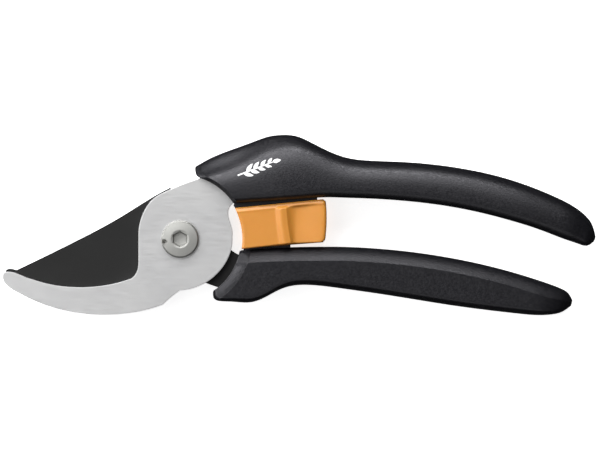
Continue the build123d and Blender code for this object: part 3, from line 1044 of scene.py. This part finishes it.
# ---------------------------------------------------------------- spring
def coil_tree():
    """Geometry nodes for a compression spring along Y, its end turns wound closer."""
    tree = bpy.data.node_groups.new("coil", "GeometryNodeTree")
    tree.interface.new_socket("Geometry", in_out="OUTPUT", socket_type="NodeSocketGeometry")
    sockets = {}
    for label in ("Turns", "Radius", "Wire Radius", "Height", "Crowding"):
        sockets[label] = tree.interface.new_socket(label, in_out="INPUT", socket_type="NodeSocketFloat")
    for label, kind in (("Foot", "NodeSocketVector"), ("Wire", "NodeSocketMaterial")):
        sockets[label] = tree.interface.new_socket(label, in_out="INPUT", socket_type=kind)
    given = tree.nodes.new("NodeGroupInput").outputs
    result = tree.nodes.new("NodeGroupOutput")

    def node(kind, **values):
        made = tree.nodes.new(kind)
        for label, value in values.items():
            setattr(made, label, value)
        return made

    def join(source, target):
        tree.links.new(source, target)

    def maths(operation, first, second=None):
        made = node("ShaderNodeMath", operation=operation)
        for socket, value in zip(made.inputs, (first, second)):
            if isinstance(value, (int, float)):
                socket.default_value = value
            elif value is not None:
                join(value, socket)
        return made.outputs[0]

    spiral = node("GeometryNodeCurveSpiral")
    spiral.inputs["Resolution"].default_value = 40
    spiral.inputs["Height"].default_value = 0
    join(given["Turns"], spiral.inputs["Rotations"])
    for end in ("Start Radius", "End Radius"):
        join(given["Radius"], spiral.inputs[end])
    share = node("GeometryNodeSplineParameter").outputs["Factor"]
    swing = maths("SINE", maths("MULTIPLY", share, 2 * pi))
    crowded = maths("MULTIPLY", maths("MULTIPLY", swing, given["Crowding"]), 1 / (2 * pi))
    rise = maths("MULTIPLY", maths("SUBTRACT", share, crowded), given["Height"])
    place = node("ShaderNodeSeparateXYZ")
    join(node("GeometryNodeInputPosition").outputs[0], place.inputs[0])
    along_y = node("ShaderNodeCombineXYZ")
    join(place.outputs["X"], along_y.inputs["X"])
    join(rise, along_y.inputs["Y"])
    join(place.outputs["Y"], along_y.inputs["Z"])
    seated = node("ShaderNodeVectorMath", operation="ADD")
    join(along_y.outputs[0], seated.inputs[0])
    join(given["Foot"], seated.inputs[1])
    shift = node("GeometryNodeSetPosition")
    join(spiral.outputs[0], shift.inputs["Geometry"])
    join(seated.outputs[0], shift.inputs["Position"])
    section = node("GeometryNodeCurvePrimitiveCircle")
    section.inputs["Resolution"].default_value = 14
    join(given["Wire Radius"], section.inputs["Radius"])
    body = node("GeometryNodeCurveToMesh")
    body.inputs["Fill Caps"].default_value = True
    join(shift.outputs[0], body.inputs["Curve"])
    join(section.outputs[0], body.inputs["Profile Curve"])
    whole = node("GeometryNodeRealizeInstances")
    join(body.outputs[0], whole.inputs[0])
    coated = node("GeometryNodeSetMaterial")
    join(whole.outputs[0], coated.inputs["Geometry"])
    join(given["Wire"], coated.inputs["Material"])
    join(coated.outputs[0], result.inputs[0])
    return tree, {label: socket.identifier for label, socket in sockets.items()}


def coil_spring():
    """Return spring between its two pockets."""
    wire_r = 0.6
    foot = spring_low + wire_r
    values = {
        "Turns": 9.0,
        "Radius": (spring_outer - wire_r) * mm,
        "Wire Radius": wire_r * mm,
        "Height": (spring_high - spring_low - 2 * wire_r) * mm,
        "Crowding": 0.42,
        "Foot": (spring_x * mm, foot * mm, meeting * mm),
        "Wire": wire,
    }
    tree, identifiers = coil_tree()
    thing = make_mesh("coil_spring", [], [])
    winding = thing.modifiers.new("winding", "NODES")
    winding.node_group = tree
    for label, value in values.items():
        winding[identifiers[label]] = value
    settle(thing)
    smooth(thing, 60)
    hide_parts("return_spring")
    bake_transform(thing)


coil_spring()

# ---------------------------------------------------------------- floor, light and camera
floor_light = 0.80  # the floor's own light, which keeps the ground white
bpy.ops.mesh.primitive_plane_add(size=6, location=(0.04, 0, -0.0005))
floor = bpy.context.object
floor.name = "floor"
pale, _, pale_shader = new_material("pale_floor")
pale_shader.inputs["Base Color"].default_value = (0.80, 0.80, 0.80, 1)
pale_shader.inputs["Roughness"].default_value = 0.9
pale_shader.inputs["Specular IOR Level"].default_value = 0.1
pale_shader.inputs["Emission Color"].default_value = (1, 1, 1, 1)
pale_shader.inputs["Emission Strength"].default_value = floor_light
floor.data.materials.append(pale)
floor.visible_glossy = False


def softbox(name, place, aim, length, height, power):
    """Rectangular area light that faces a point."""
    lamp = bpy.data.lights.new(name, "AREA")
    lamp.shape = "RECTANGLE"
    lamp.size = length
    lamp.size_y = height
    lamp.energy = power
    thing = bpy.data.objects.new(name, lamp)
    thing.location = place
    thing.rotation_euler = (Vector(aim) - Vector(place)).to_track_quat("-Z", "Y").to_euler()
    scene.collection.objects.link(thing)


centre = (0.043, 0.005, 0.01)
# Each row is a lamp: its name, place, length, height and power in watts.
lamps = [
    ("overhead", (0.04, 0.0, 1.4), 1.6, 1.6, 2),
    ("left_high", (-0.9, 0.25, 1.1), 1.4, 1.4, 10),
    ("top_high", (-0.2, 0.95, 1.2), 1.4, 0.6, 15),
    ("top_low", (-0.3, 1.4, 0.75), 1.8, 0.4, 30),
    ("left_low", (-1.3, 0.4, 0.6), 0.8, 0.4, 12),
    ("front_high", (0.0, -0.9, 1.1), 1.4, 0.6, 3),
]
for lamp_name, lamp_place, lamp_length, lamp_height, lamp_power in lamps:
    softbox(lamp_name, lamp_place, centre, lamp_length, lamp_height, lamp_power)
world = bpy.data.worlds.new("studio")
world.use_nodes = True
world.node_tree.nodes["Background"].inputs[0].default_value = (1, 1, 1, 1)
world.node_tree.nodes["Background"].inputs[1].default_value = 0.02
scene.world = world
scene.view_settings.view_transform = "Standard"

view_width = 0.2136
camera_height = 1.6
camera_data = bpy.data.cameras.new("camera")
camera_data.sensor_width = 36
camera_data.lens = 36 * camera_height / view_width
camera_data.clip_start = 0.01
camera_data.clip_end = 20
camera = bpy.data.objects.new("camera", camera_data)
camera.location = (0.0427, 0.0050, 0.0125 + camera_height)
scene.collection.objects.link(camera)
scene.camera = camera
